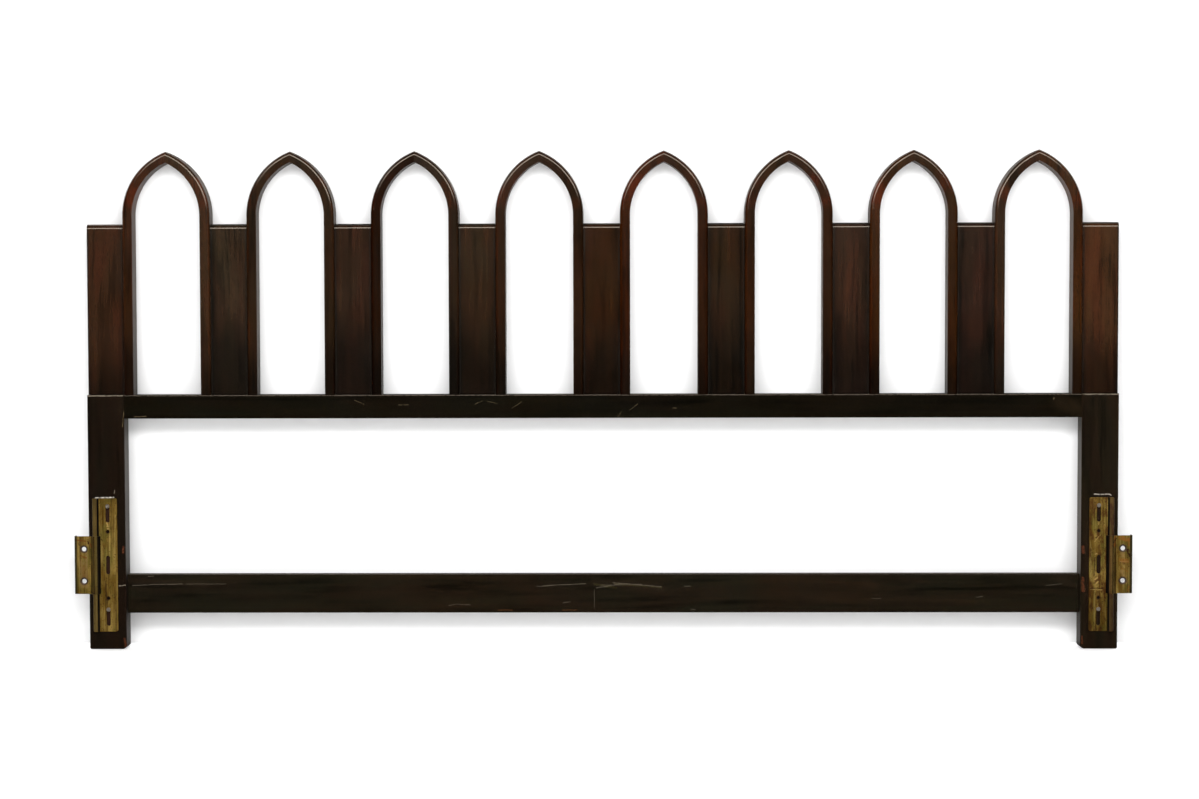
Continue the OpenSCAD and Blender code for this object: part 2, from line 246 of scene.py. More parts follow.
def shaded_grimy_sides(low_x, high_x, left, right, reach=0.036):
    """Painted shade along a board's left and right edges, where it sits recessed, with some grime, heavier
    where the noise says so.
    """
    def mark(g, place, seed):
        x = g.split(place)[0]
        patches = g.noise(g.stretched(place, (40.0, 40.0, 9.0), seed + 7), detail=3.0)
        width = g.math("MULTIPLY", patches, reach)
        at_left = g.math("DIVIDE", g.math("SUBTRACT", x, low_x), width)
        at_right = g.math("DIVIDE", g.math("SUBTRACT", high_x, x), width)
        left_share = g.smooth(at_left, 0.0, 1.0, left, 0.0)
        right_share = g.smooth(at_right, 0.0, 1.0, right, 0.0)
        return g.math("MAXIMUM", left_share, right_share), GRIME_AND_SHADE, "MULTIPLY", 0.03
    return mark


def shaded_creases(low_x, high_x, width=0.01, strength=0.85):
    """Painted shade, with old dirt and stain, along the two corners where a board meets its neighbours."""
    def mark(g, place, seed):
        x = g.split(place)[0]
        inside = g.math("MINIMUM", g.math("SUBTRACT", x, low_x), g.math("SUBTRACT", high_x, x))
        wobble = g.noise(g.stretched(place, (90.0, 90.0, 20.0), seed + 4), detail=2.0)
        share = g.smooth(inside, 0.0, g.math("MULTIPLY", wobble, width), strength, 0.0)
        return share, GRIME_AND_SHADE, "MULTIPLY", 0.1
    return mark


def shaded_dull_top(top, rough, depth=0.004):
    """Painted shade and dull lacquer along a board's top edge, which dim its highlight."""
    def mark(g, place, seed):
        return g.smooth(g.split(place)[2], top - depth, top - depth / 2), GRIME_AND_SHADE, "MULTIPLY", rough
    return mark


def worn_and_highlit_edges(strength=0.7):
    """The stain is rubbed thin on the rounded edges, in patches, and shows the red wood; the lighter edge is
    also a painted highlight.
    """
    def mark(g, place, seed):
        facing = g.math("ABSOLUTE", g.split(g.normal())[1])
        edge = g.math("MULTIPLY", g.smooth(facing, 0.35, 0.75), g.smooth(facing, 0.93, 0.999, 1.0, 0.0))
        patches = g.noise(g.stretched(place, (30.0, 30.0, 30.0), seed + 5), detail=3.0)
        share = g.math("MULTIPLY", edge, g.smooth(patches, 0.35, 0.65, 0.15, strength))
        return share, THIN_STAIN_AND_SHEEN, "MULTIPLY", 0.0
    return mark


def red_worn_and_lit_shoulders(low_z, high_z, strength=0.75, fade=0.02):
    """A soft reddish stretch along an arch's crown, partly worn finish and partly a painted highlight."""
    def mark(g, place, seed):
        z = g.split(place)[2]
        patches = g.noise(g.stretched(place, (24.0, 24.0, 24.0), seed + 9), detail=2.0)
        above = g.smooth(z, low_z, low_z + fade)
        below = g.smooth(z, high_z - fade, high_z, 1.0, 0.0)
        uneven = g.smooth(patches, 0.4, 0.6, 0.0, strength)
        share = g.math("MULTIPLY", g.math("MULTIPLY", above, below), uneven)
        return share, WORN_RED_AND_SHEEN, "MULTIPLY", 0.0
    return mark


# ---- Lines and stripes of wear, painted highlight and painted shade ----

FLAT = (1.0, 0.0, 1.0)  # drops a point's depth
STROKE_WANDER = (0.0016, 0.0, 0.0016)


def stroke_group():
    """How much a point belongs to a line of wear or painted highlight between two points of the front: 0 to
    1.
    """
    tree = bpy.data.node_groups.new("wear_and_highlight_stroke", "ShaderNodeTree")
    face = tree.interface
    for name in ("Vector", "Start", "End"):
        face.new_socket(name, in_out="INPUT", socket_type="NodeSocketVector")
    for name in ("Width", "Strength"):
        face.new_socket(name, in_out="INPUT", socket_type="NodeSocketFloat")
    face.new_socket("Share", in_out="OUTPUT", socket_type="NodeSocketFloat")
    g = Graph(tree)
    inside = tree.nodes.new("NodeGroupInput").outputs
    vector, start, end, width = inside["Vector"], inside["Start"], inside["End"], inside["Width"]
    wander = g.node("ShaderNodeTexNoise", {"Vector": vector, "Scale": 110.0, "Detail": 2.0}, out="Color")
    wander = g.vector_math("SUBTRACT", wander, (0.5, 0.5, 0.5))
    place = g.vector_math("ADD", vector, g.vector_math("MULTIPLY", wander, STROKE_WANDER))
    place = g.vector_math("MULTIPLY", place, FLAT)
    from_start = g.vector_math("SUBTRACT", place, start)
    run = g.vector_math("SUBTRACT", end, start)
    share = g.math("DIVIDE", g.vector_math("DOT_PRODUCT", from_start, run, out="Value"),
                   g.vector_math("DOT_PRODUCT", run, run, out="Value"), clamp=True)
    shares = g.node("ShaderNodeCombineXYZ", {"X": share, "Y": share, "Z": share})
    along = g.vector_math("MULTIPLY", run, shares)
    away = g.vector_math("LENGTH", g.vector_math("SUBTRACT", from_start, along), out="Value")
    grit = g.noise(vector, scale=650.0, detail=2.0)
    half = g.math("MULTIPLY", width, g.math("MULTIPLY_ADD", grit, 1.0, 0.1))
    line = g.smooth(away, g.math("MULTIPLY", half, 0.3), half, 1.0, 0.0)
    patchy = g.smooth(g.noise(vector, scale=240.0, detail=2.0), 0.35, 0.5, 0.3, 1.0)
    line = g.math("MULTIPLY", g.math("MULTIPLY", line, patchy), inside["Strength"], clamp=True)
    g.feed(tree.nodes.new("NodeGroupOutput").inputs["Share"], line)
    return tree


STROKE_GROUP = stroke_group()


def strokes(origin, lines, paint, rough=0.2, blend="MIX", flip=1):
    """Worn lines, and lines of painted highlight, on the front. Each one is x, z to x, z from the origin, a
    width in mm and a strength.
    """
    def point(x, z):
        return origin[0] + flip * x / 1000, 0.0, origin[1] + z / 1000

    def mark(g, place, seed):
        total = 0.0
        for x0, z0, x1, z1, width, strength in lines:
            line = g.tree.nodes.new("ShaderNodeGroup")
            line.node_tree = STROKE_GROUP
            values = {"Vector": place, "Start": point(x0, z0), "End": point(x1, z1), "Width": width / 1000,
                      "Strength": strength}
            for key, value in values.items():
                g.feed(line.inputs[key], value)
            total = g.math("MAXIMUM", total, line.outputs["Share"])
        in_front = g.smooth(g.split(place)[1], -0.002, 0.002, 1.0, 0.0)
        return g.math("MULTIPLY", total, in_front), paint, blend, rough
    return mark


def side_strokes(side, lines, paint, rough=0.2):
    """Worn lines and painted highlight lines near one post: x in mm from the post's outer face inwards, and
    z in mm from the floor.
    """
    return strokes((POST_OUTER_X[side], 0.0), lines, paint, rough, flip=-SIDES[side])


def band(x, width, low, high, paint, strength=1.0, rough=0.1, blur=0.5):
    """A straight upright stripe round x, from z low to high. Only width and blur are in mm."""
    def mark(g, place, seed):
        across, _, z = g.split(place)
        half, soft = width / 2000, blur / 1000
        away = g.math("ABSOLUTE", g.math("SUBTRACT", across, x))
        share = g.smooth(away, half - soft, half + soft, strength, 0.0)
        above = g.smooth(z, low - soft, low + soft)
        below = g.smooth(z, high - soft, high + soft, 1.0, 0.0)
        return g.math("MULTIPLY", share, g.math("MULTIPLY", above, below)), paint, "MIX", rough
    return mark


def ring(centre, inner, outer, paint, strength=0.9):
    """A stain round a hole, with radii in mm."""
    def mark(g, place, seed):
        flat = g.vector_math("MULTIPLY", place, FLAT)
        from_centre = g.vector_math("SUBTRACT", flat, (centre[0], 0.0, centre[1]))
        away = g.vector_math("LENGTH", from_centre, out="Value")
        wobble = g.noise(g.stretched(place, (300.0, 300.0, 300.0), seed), detail=2.0)
        away = g.math("MULTIPLY_ADD", g.math("SUBTRACT", wobble, 0.5), 0.002, away)
        return g.smooth(away, inner / 1000, outer / 1000, strength, 0.0), paint, "MIX", 0.1
    return mark


# ---- Metal ----

BRASS_DARK, BRASS_LIGHT, BRASS_OLIVE = srgb(132, 98, 30), srgb(178, 146, 72), srgb(128, 116, 48)
SCRATCH_DARK, SCRATCH_LIGHT = srgb(88, 62, 22), srgb(208, 180, 104)
# The last of these is painted shade for the bends
SKIN_BROWN, SPECK_BROWN, BEND_SHADE = srgb(94, 54, 20), srgb(56, 34, 16), srgb(58, 44, 20)
OLD_SKIN = (0.5, 0.45, 0.3, 1.0)  # multiplies the metal's colour
SCREW_GREY, SCREW_GRIME = srgb(186, 178, 168), srgb(92, 78, 58)


def plated(name, seed, tarnish=0.5, marks=()):
    """Zinc-plated steel gone brassy, with brown and olive patches, fine upright scratches and painted shade
    on its bends.
    """
    material, g = new_material(name)
    place = g.place()
    drawn = g.noise(g.stretched(place, (420.0, 420.0, 7.0), seed), detail=4.0, roughness=0.6)
    clouds = g.noise(g.stretched(place, (70.0, 70.0, 18.0), seed), detail=4.0, roughness=0.6)
    patches = g.noise(g.stretched(place, (120.0, 120.0, 50.0), seed + 3), detail=5.0, roughness=0.65)
    specks = g.noise(g.stretched(place, (420.0, 420.0, 420.0), seed), detail=2.0)
    greens = g.noise(g.stretched(place, (50.0, 50.0, 22.0), seed + 6), detail=3.0)
    colour = g.mix(g.smooth(clouds, 0.35, 0.65), BRASS_DARK, BRASS_LIGHT)
    colour = g.mix(g.smooth(greens, 0.45, 0.6, 0.0, 0.7), colour, BRASS_OLIVE)
    colour = g.mix(g.smooth(drawn, 0.34, 0.5, 0.8, 0.0), colour, SCRATCH_DARK)
    colour = g.mix(g.smooth(drawn, 0.54, 0.72, 0.0, 0.7), colour, SCRATCH_LIGHT)
    brown = g.math("ADD", g.math("MULTIPLY", g.math("SUBTRACT", patches, 0.5), 3.0), tarnish, clamp=True)
    colour = g.mix(g.smooth(brown, 0.5, 1.0, 0.0, 0.85), colour, SKIN_BROWN)
    colour = g.mix(g.smooth(specks, 0.6, 0.7, 0.0, 0.85), colour, SPECK_BROWN)
    # The bends and slanted faces get painted shade where they turn away from the light, and are a little
    # rougher
    facing = g.math("ABSOLUTE", g.split(g.normal())[1])
    shaded_bends = g.smooth(facing, 0.55, 0.97, 0.85, 0.0)
    colour = g.mix(shaded_bends, colour, BEND_SHADE)
    roughness = g.math("MULTIPLY_ADD", shaded_bends, 0.1, g.smooth(clouds, 0.3, 0.7, 0.4, 0.54))
    colour, roughness = add_marks(g, place, seed, colour, roughness, marks)
    bump = g.node("ShaderNodeBump", {"Height": drawn, "Distance": 0.00006, "Strength": 0.5})
    finish_material(g, {"Base Color": colour, "Metallic": 0.85, "Roughness": roughness, "Normal": bump})
    return material


def old_skin(clean_z, brown_z, strength):
    """Old brown skin that gets heavier from clean_z to brown_z, up or down."""
    def mark(g, place, seed):
        return g.smooth(g.split(place)[2], clean_z, brown_z, 0.0, strength), OLD_SKIN, "MULTIPLY", 0.0
    return mark


def screw_steel():
    material, g = new_material("worn_screw_steel")
    grime = g.noise(g.stretched(g.place(), (260.0, 260.0, 260.0)), detail=4.0)
    colour = g.mix(g.smooth(grime, 0.5, 0.72), SCREW_GREY, SCREW_GRIME)
    roughness = g.smooth(grime, 0.35, 0.7, 0.35, 0.6)
    bump = g.node("ShaderNodeBump", {"Height": grime, "Distance": 0.0001, "Strength": 0.4})
    finish_material(g, {"Base Color": colour, "Metallic": 0.9, "Roughness": roughness, "Normal": bump})
    return material


# ---- Wear and painted highlights of the posts and rails ----

PALE, TAN, ORANGE, GREY = srgb(132, 122, 106), srgb(112, 98, 66), srgb(140, 86, 44), srgb(92, 82, 72)
# The near-black here is painted shadow for the brackets' gaps
BROWN, RED, SHADOW_BLACK = srgb(58, 44, 32), srgb(96, 48, 26), srgb(12, 8, 5)
FAINT_BROWN, OLIVE_BROWN, DULL_TAN = srgb(52, 38, 24), srgb(74, 68, 36), srgb(92, 80, 58)

# Each line of wear or painted highlight is x, z to x, z in mm, then its width in mm and its strength
# A painted highlight along the post's rounded top edge
POST_TOP_HIGHLIGHT = (2, 490, 68, 490, 2.6, 0.6)
# Each post's lines of wear and painted highlight, colour by colour
POST_WEAR_AND_HIGHLIGHTS = {
    "left": (
        # Painted highlight where the plate's top edge catches the light
        (srgb(196, 190, 178), ((11, 291, 14, 293, 2.6, 1), (14, 293, 49, 294, 3.0, 1))),
        (PALE, ((50, 301, 51, 308, 2.0, 0.4), (57, 123, 70, 124, 2.2, 0.6), POST_TOP_HIGHLIGHT)),
        (RED, ((66, 188, 66, 198, 5.0, 0.6), (67, 20, 69, 6, 5.0, 0.4))),
        (TAN, ((68, 444, 72, 467, 1.6, 0.5), (67, 430, 69, 441, 1.8, 0.4))),
    ),
    "right": (
        # Painted highlight where the plate's top edge catches the light
        (srgb(160, 152, 140), ((14, 296, 17, 298, 2.4, 1), (17, 298, 46, 298, 2.4, 0.8))),
        (PALE, (POST_TOP_HIGHLIGHT,)),
        (RED, ((66, 186, 67, 197, 7.0, 0.45), (66, 112, 67, 136, 7.0, 0.5), (67, 10, 68, 24, 4.0, 0.4))),
    ),
}

# The rails' lines start at each rail's lower left corner at the post
LOW_RAIL = (POST_INNER_X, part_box("lower_rail")[0].z)
UP_RAIL = (POST_INNER_X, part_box("upper_rail")[0].z)
LOW_RAIL_COOL = ((60, 38, 360, 38, 90, 0.9), (1093, 38, 1213, 38, 90, 0.9), (1451, 38, 1584, 38, 90, 0.8))
LOW_RAIL_WARM = ((550, 36, 770, 36, 90, 0.9), (1230, 44, 1270, 44, 60, 0.9), (1370, 44, 1430, 44, 60, 0.9))
LOW_RAIL_BROWN = (
    (0, 60, 150, 56, 14, 0.5), (905, 60, 1035, 48, 18, 0.4), (1425, 62, 1445, 50, 18, 0.3),
    (1800, 64, 1832, 52, 14, 0.4),
)
LOW_RAIL_OLIVE = ((905, 55, 945, 48, 6, 0.5), (945, 56, 1033, 49, 5, 0.5))
LOW_RAIL_PALE = (
    (10, 53, 50, 55, 2.2, 0.6), (50, 55, 106, 56, 2.0, 0.6), (114, 56, 190, 56, 1.4, 0.5),
    (40, 71, 51, 71, 2.0, 0.5), (622, 14, 642, 17, 1.6, 0.5), (642, 16, 664, 15, 1.6, 0.5),
    (844, 19, 857, 21, 2.4, 0.4), (805, 52, 841, 54, 2.0, 0.7), (841, 54, 887, 56, 2.0, 0.7),
    (793, 51, 815, 51, 2.0, 0.4), (908, 48, 928, 51, 2.0, 0.7), (928, 51, 960, 57, 2.0, 0.6),
    (940, 58, 1033, 50, 2.0, 0.7), (917, 53, 995, 55, 1.8, 0.5), (904, 44, 904, 8, 1.4, 0.5),
    (1078, 51, 1089, 51, 2.0, 0.5), (1091, 6, 1099, 6, 2.4, 0.4), (1440, 27, 1457, 27, 1.6, 0.4),
    (1642, 29, 1653, 31, 2.0, 0.4), (1775, 52, 1805, 55, 1.8, 0.4),
)
LOW_RAIL_ORANGE = ((718, 5, 745, 5, 2.4, 0.4), (842, 5, 870, 5, 2.4, 0.4))
UP_RAIL_BROWN = ((1797, 32, 1850, 5, 36, 0.18),)
UP_RAIL_TAN = (
    (19, 4, 42, 4, 2.2, 0.6), (444, 35, 462, 27, 1.6, 0.3), (529, 26, 548, 26, 1.8, 0.4),
    (676, 27, 689, 33, 2.0, 0.3), (699, 33, 718, 28, 2.0, 0.3), (747, 19, 765, 31, 1.6, 0.3),
    (951, 3, 957, 12, 2.0, 0.4), (973, 15, 988, 27, 1.6, 0.3), (1056, 19, 1062, 19, 2.2, 0.4),
    (1785, 35, 1786, 37, 2.4, 0.5),
)
# A painted highlight along the upper rail's rounded top edge
UP_RAIL_TOP_HIGHLIGHT = ((0, 44, 1840, 44, 1.8, 0.5),)

low_rail_wear = (
    strokes(LOW_RAIL, LOW_RAIL_COOL, COOL, rough=0.0, blend="MULTIPLY"),
    strokes(LOW_RAIL, LOW_RAIL_WARM, WARM, rough=0.0, blend="MULTIPLY"),
    strokes(LOW_RAIL, LOW_RAIL_BROWN, BROWN, rough=0.05),
    strokes(LOW_RAIL, LOW_RAIL_OLIVE, OLIVE_BROWN, rough=0.1),
    strokes(LOW_RAIL, LOW_RAIL_PALE, PALE),
    strokes(LOW_RAIL, LOW_RAIL_ORANGE, ORANGE),
)
up_rail_wear_and_highlight = (
    strokes(UP_RAIL, UP_RAIL_BROWN, FAINT_BROWN, rough=0.05),
    strokes(UP_RAIL, UP_RAIL_TAN, DULL_TAN),
    strokes(UP_RAIL, UP_RAIL_TOP_HIGHLIGHT, GREY),
)


# ---- Wear and painted shade of the brackets ----

# The heights where the plate's old skin starts and is full, and its strength
PLATE_SKIN = {"left": (0.17, 0.30, 0.75), "right": (0.14, 0.04, 0.7)}
PLATE_TARNISH = {"left": 0.2, "right": 0.65}
SLIDER_TARNISH = {side: tarnish - 0.25 for side, tarnish in PLATE_TARNISH.items()}
LIP_BROWN = {"left": srgb(96, 80, 46), "right": srgb(76, 54, 40)}
WEB_BROWN = {"left": srgb(84, 72, 38), "right": srgb(88, 58, 36)}
RUST = {"left": srgb(136, 78, 32), "right": srgb(168, 108, 44)}
DARK_SCRATCH, BARE_BRASS = srgb(62, 40, 20), srgb(222, 184, 104)
TAN_BRASS, BURNT = srgb(184, 146, 88), srgb(62, 32, 16)
BOLT_STAIN, PILOT_STAIN, SLOT_WOOD = srgb(72, 60, 58), srgb(78, 42, 18), srgb(58, 33, 24)
# Painted shade for the slider's crease, and a painted dark reflection for its flange's bent edge
CREASE_SHADE, FLANGE_SHADE_OLIVE = srgb(24, 16, 8), srgb(54, 48, 24)

# Bolt holes lie above and below the slider's middle, and pilot holes and slots above and below the plate's
BOLT_X, BOLT_OFFSET = -8.6, 0.031
PILOT_OFFSET = 0.0645
SLOT_SPACING, SLOT_HALF_HEIGHT, SLOT_WIDTH = 0.1, 0.018, 9
SLOT_SHARE = {"left": 0.35, "right": 0.1}

# The brackets' lines, with x inwards from the post's outer face and z from the floor
PLATE_DARK = {
    "left": ((29, 200, 29, 108, 1.2, 0.7), (32, 132, 33, 104, 1.6, 0.8), (26, 205, 26, 150, 1.2, 0.5),
             (25, 213, 27, 211, 3.5, 0.7), (33, 104, 36, 96, 4.5, 0.7)),
    "right": ((44, 274, 47, 262, 1.6, 0.7), (28, 272, 31, 262, 1.6, 0.7), (44, 182, 46, 140, 2.4, 0.8),
              (29, 117, 54, 117, 3.0, 0.7), (42, 214, 42, 215, 4.0, 0.8), (30, 125, 50, 128, 4.5, 0.4),
              (52, 210, 52, 150, 2.0, 0.6), (34, 190, 35, 150, 2.0, 0.6)),
}
PLATE_BARE = {
    "left": ((36, 246, 38, 234, 5.0, 1.0), (35, 170, 35, 150, 1.4, 0.5), (41, 246, 41, 180, 1.2, 0.5),
             (52, 260, 52, 236, 1.6, 0.6)),
    "right": ((38, 172, 39, 150, 2.6, 0.9), (40, 138, 44, 134, 4.0, 0.9), (38, 130, 42, 126, 3.4, 0.9),
              (41, 184, 43, 182, 3.0, 0.9), (30, 114, 52, 115, 2.0, 0.7), (34, 220, 46, 206, 1.6, 0.6),
              (36, 262, 38, 240, 1.6, 0.6)),
}
SLIDER_TAN = {
    "left": ((-12, 168, -12, 125, 16.0, 0.5), (-4, 200, -4, 120, 5.0, 0.6)),
    "right": ((-8, 200, -8, 180, 10.0, 0.5), (-4, 169, -18, 169, 3.0, 0.8), (-6, 150, -16, 128, 8.0, 0.5)),
}
SLIDER_RUST = {
    "left": ((-21, 212, -6, 210, 4.0, 0.9), (4, 204, 6, 199, 4.0, 0.9), (-16, 182, -5, 178, 4.0, 0.8),
             (-10, 160, -10, 130, 6.0, 0.3)),
    "right": ((-4, 215, -19, 210, 9.0, 1.0), (-20, 214, -20, 200, 4.0, 0.8), (-5, 172, -18, 170, 9.0, 0.6),
              (7, 216, 8, 200, 6.0, 0.9), (-22, 122, -19, 114, 5.0, 0.8), (-18, 150, -6, 156, 3.0, 0.6)),
}
SLIDER_BURNT = {
    "left": ((-1, 213, 0, 205, 4.0, 1.0), (-20, 208, -18, 202, 3.0, 0.6), (2, 112, 12, 109, 3.0, 0.7)),
    "right": ((-18, 191, -21, 180, 7.0, 1.0), (-10, 202, -2, 196, 2.4, 0.7), (4, 214, 10, 206, 3.0, 0.8),
              (-16, 130, -4, 134, 2.0, 0.6)),
}


def inwards(side, x):
    """The place that is x mm inwards from the post's outer face."""
    return POST_OUTER_X[side] - SIDES[side] * x / 1000


def edge_stripe(side, part, x, width, paint, strength=1.0, rough=0.1):
    """An upright stripe as high as a bracket's part, x mm inwards from the post's outer face."""
    low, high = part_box(f"bracket_{part}_{side}")
    return band(inwards(side, x), width, low.z, high.z, paint, strength, rough)


def plate_middle(side):
    """The x of the plate's row of slots and holes, and the z of its middle."""
    screws_low, screws_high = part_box(f"bracket_screws_{side}")
    plate_low, plate_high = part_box(f"bracket_plate_{side}")
    return (screws_low.x + screws_high.x) / 2, (plate_low.z + plate_high.z) / 2


def plate_marks(side):
    """Old skin, stained holes, scratches, the brown lip, and painted shadow in the gaps beside the lip and
    beside the slider.
    """
    x, z = plate_middle(side)
    heights = (z - PILOT_OFFSET, z + PILOT_OFFSET)
    pilots = [ring((x, height), inner=2.4, outer=5.8, paint=PILOT_STAIN) for height in heights]
    return (
        old_skin(*PLATE_SKIN[side]),
        *pilots,
        side_strokes(side, PLATE_DARK[side], DARK_SCRATCH, rough=0.15),
        side_strokes(side, PLATE_BARE[side], BARE_BRASS, rough=-0.05),
        edge_stripe(side, "plate", x=11, width=14, paint=LIP_BROWN[side], strength=0.7),
        # Painted shadow in the gap beside the lip's edge, and beside the slider where it rests
        edge_stripe(side, "plate", x=18.8, width=2.6, paint=SHADOW_BLACK, rough=0.3),
        edge_stripe(side, "slider", x=20.6, width=4.8, paint=SHADOW_BLACK, rough=0.3),
    )


def slider_marks(side):
    """Tan, rusty and burnt patches, stained bolt holes, the web's brown edge, a painted dark reflection on
    the flange's bent edge, and painted shade in the crease and on the hook's end.
    """
    low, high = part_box(f"bracket_slider_{side}")
    x, z = inwards(side, BOLT_X), (low.z + high.z) / 2
    heights = (z - BOLT_OFFSET, z + BOLT_OFFSET)
    bolt_holes = [ring((x, height), inner=6.2, outer=9.2, paint=BOLT_STAIN) for height in heights]
    return (
        side_strokes(side, SLIDER_TAN[side], TAN_BRASS, rough=0.0),
        side_strokes(side, SLIDER_RUST[side], RUST[side], rough=0.1),
        side_strokes(side, SLIDER_BURNT[side], BURNT, rough=0.15),
        *bolt_holes,
        edge_stripe(side, "slider", x=16, width=6, paint=WEB_BROWN[side], strength=0.7),
        # Painted dark reflection on the flange's bent edge, painted shade in the crease, and painted shade
        # on the hook's end where it curls into the gap
        edge_stripe(side, "slider", x=-24.7, width=6, paint=FLANGE_SHADE_OLIVE, strength=0.85),
        edge_stripe(side, "slider", x=11.6, width=2.6, paint=CREASE_SHADE, strength=0.85, rough=0.3),
        edge_stripe(side, "slider", x=20.4, width=4.4, paint=SHADOW_BLACK, strength=0.95, rough=0.3),
    )


def post_marks(side):
    """Edges that are rubbed and lit with a painted highlight, worn lines with painted highlights along the
    post's and the plate's top edges, and bare brown wood behind the plate's slots.
    """
    wear_and_highlights = [side_strokes(side, lines, paint) for paint, lines in POST_WEAR_AND_HIGHLIGHTS[side]]
    x, z = plate_middle(side)
    slots = []
    for row in (-1, 0, 1):
        middle = z + row * SLOT_SPACING
        low, high = middle - SLOT_HALF_HEIGHT, middle + SLOT_HALF_HEIGHT
        slots.append(band(x, SLOT_WIDTH, low, high, SLOT_WOOD, strength=SLOT_SHARE[side]))
    return worn_and_highlit_edges(), *wear_and_highlights, *slots


# ---- Finishes on the CAD parts ----

# Each panel's tint, how high its dark foot reaches, and how dark the painted shade along its left and right
# edges is
PANEL_LOOKS = {
    1: ((48, 27, 16), 0.545, 0.2, 0.5),
    2: ((43, 31, 22), 0.655, 0.8, 0.5),
    3: ((41, 25, 17), 0.630, 0.6, 0.5),
    4: ((38, 25, 15), 0.610, 0.7, 0.4),
    5: ((38, 20, 8), 0.590, 0.7, 0.4),
    6: ((35, 21, 11), 0.625, 0.6, 0.5),
    7: ((42, 25, 17), 0.625, 0.7, 0.5),
    8: ((38, 23, 17), 0.625, 0.7, 0.6),
    9: ((60, 35, 20), 0.565, 0.6, 0.2),
}
END_PANEL_FIGURE, PANEL_FIGURE = 0.65, 0.9
# The tints of each arch's left and right half
ARCH_TINTS = {
    1: ((44, 22, 9), (42, 27, 16)),
    2: ((34, 20, 10), (34, 21, 11)),
    3: ((22, 7, 1), (30, 19, 11)),
    4: ((34, 19, 9), (32, 18, 8)),
    5: ((43, 17, 2), (34, 15, 4)),
    6: ((36, 17, 4), (33, 16, 6)),
    7: ((41, 20, 5), (39, 20, 6)),
    8: ((40, 24, 15), (45, 24, 8)),
}
ARCH_FOOT, CROWN_LOW, CROWN_HIGH = 0.585, 0.84, 0.92
POST_TINTS = {"left": (21, 14, 9), "right": (26, 19, 12)}
# Each rail's seed, tint and wear, which on the upper rail includes a painted highlight
RAIL_LOOKS = {
    "upper_rail": (9.1, (13, 10, 5), up_rail_wear_and_highlight),
    "lower_rail": (4.4, (25, 20, 13), low_rail_wear),
}
POST_SEED, PLATE_SEED, SLIDER_SEED = 5.5, 2.0, 7.0
BARE_WOOD_TINT = (160, 124, 84)
INSIDE_NODES = ("leg_dowels", "crown_dowels", "crown_splines", "panel_dowels", "edge_dowels")


def coat(node, material):
    mesh = NODES[node].data
    mesh.materials.clear()
    mesh.materials.append(material)


for i, (tint, foot, left, right) in PANEL_LOOKS.items():
    low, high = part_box(f"panel_{i}")
    # The panels' sides and the corners beside the arch legs get painted shade, as they sit recessed
    marks = [dark_foot(foot), shaded_grimy_sides(low.x, high.x, left, right), shaded_creases(low.x, high.x)]
    # The other panels' top edges get painted shade that dims their highlight
    if i > 1:  # the first panel's top edge has kept its shine
        marks.append(shaded_dull_top(high.z, rough=0.5))
    figure = END_PANEL_FIGURE if i in (1, len(PANEL_LOOKS)) else PANEL_FIGURE
    coat(f"panel_{i}", wood(f"panel_wood_{i}", seed=i * 1.3, tint=tint, figure=figure, marks=marks))

for i, tints in ARCH_TINTS.items():
    for k, (side, tint) in enumerate(zip(SIDES, tints)):
        marks = (dark_foot(ARCH_FOOT, spread=0.08), red_worn_and_lit_shoulders(CROWN_LOW, CROWN_HIGH), worn_and_highlit_edges())
        arch_wood = wood(f"arch_wood_{i}_{side}", seed=i * 2.1 + k, tint=tint, marks=marks)
        for part in ("leg", "crown"):
            coat(f"arch_{i}_{part}_{side}", arch_wood)

for k, side in enumerate(SIDES):
    post_wood = wood(f"post_wood_{side}", POST_SEED + k, POST_TINTS[side], marks=post_marks(side))
    plate_steel = plated(f"plated_plate_{side}", PLATE_SEED + k, PLATE_TARNISH[side], plate_marks(side))
    slider_steel = plated(f"plated_slider_{side}", SLIDER_SEED + k, SLIDER_TARNISH[side], slider_marks(side))
    coat(f"post_{side}", post_wood)
    coat(f"bracket_plate_{side}", plate_steel)
    coat(f"bracket_slider_{side}", slider_steel)

for name, (seed, tint, wear_and_highlights) in RAIL_LOOKS.items():
    coat(name, wood(f"{name}_wood", seed, tint, turn=LEVEL, marks=(worn_and_highlit_edges(0.5), *wear_and_highlights)))

screws = screw_steel()
for side in SIDES:
    coat(f"bracket_screws_{side}", screws)

inside_wood = wood("unfinished_wood", seed=0.7, tint=BARE_WOOD_TINT, figure=0.5)
for node in INSIDE_NODES:
    coat(node, inside_wood)


# ---- Stage, light and camera ----

WHITE, PAPER_WHITE = (1.0, 1.0, 1.0, 1.0), (0.9, 0.9, 0.9, 1.0)
WALL_GAP_BELOW, WALL_GAP_ABOVE = 0.045, 0.006  # behind the object's foot, and behind the arches' points
WALL_HEIGHT, WALL_HALF_WIDTH = 3.2, 6.0
FLOOR_HALF_WIDTH, FLOOR_DROP, FLOOR_GLOW = 9, 0.0005, 0.35
ROOM_LIGHT = 0.015
# The camera was solved from the photograph's straight edges
LENS, SENSOR_WIDTH = 68.69, 36.0
CAMERA_PLACE = (0.0433, -4.4010, 0.6760)
CAMERA_ANGLES = (87.462, 0.120, 0.619)


def plane(name, corners, material):
    mesh = bpy.data.meshes.new(name)
    mesh.from_pydata(corners, [], [(0, 1, 2, 3)])
    mesh.materials.append(material)
    obj = bpy.data.objects.new(name, mesh)
    bpy.context.scene.collection.objects.link(obj)
    return obj


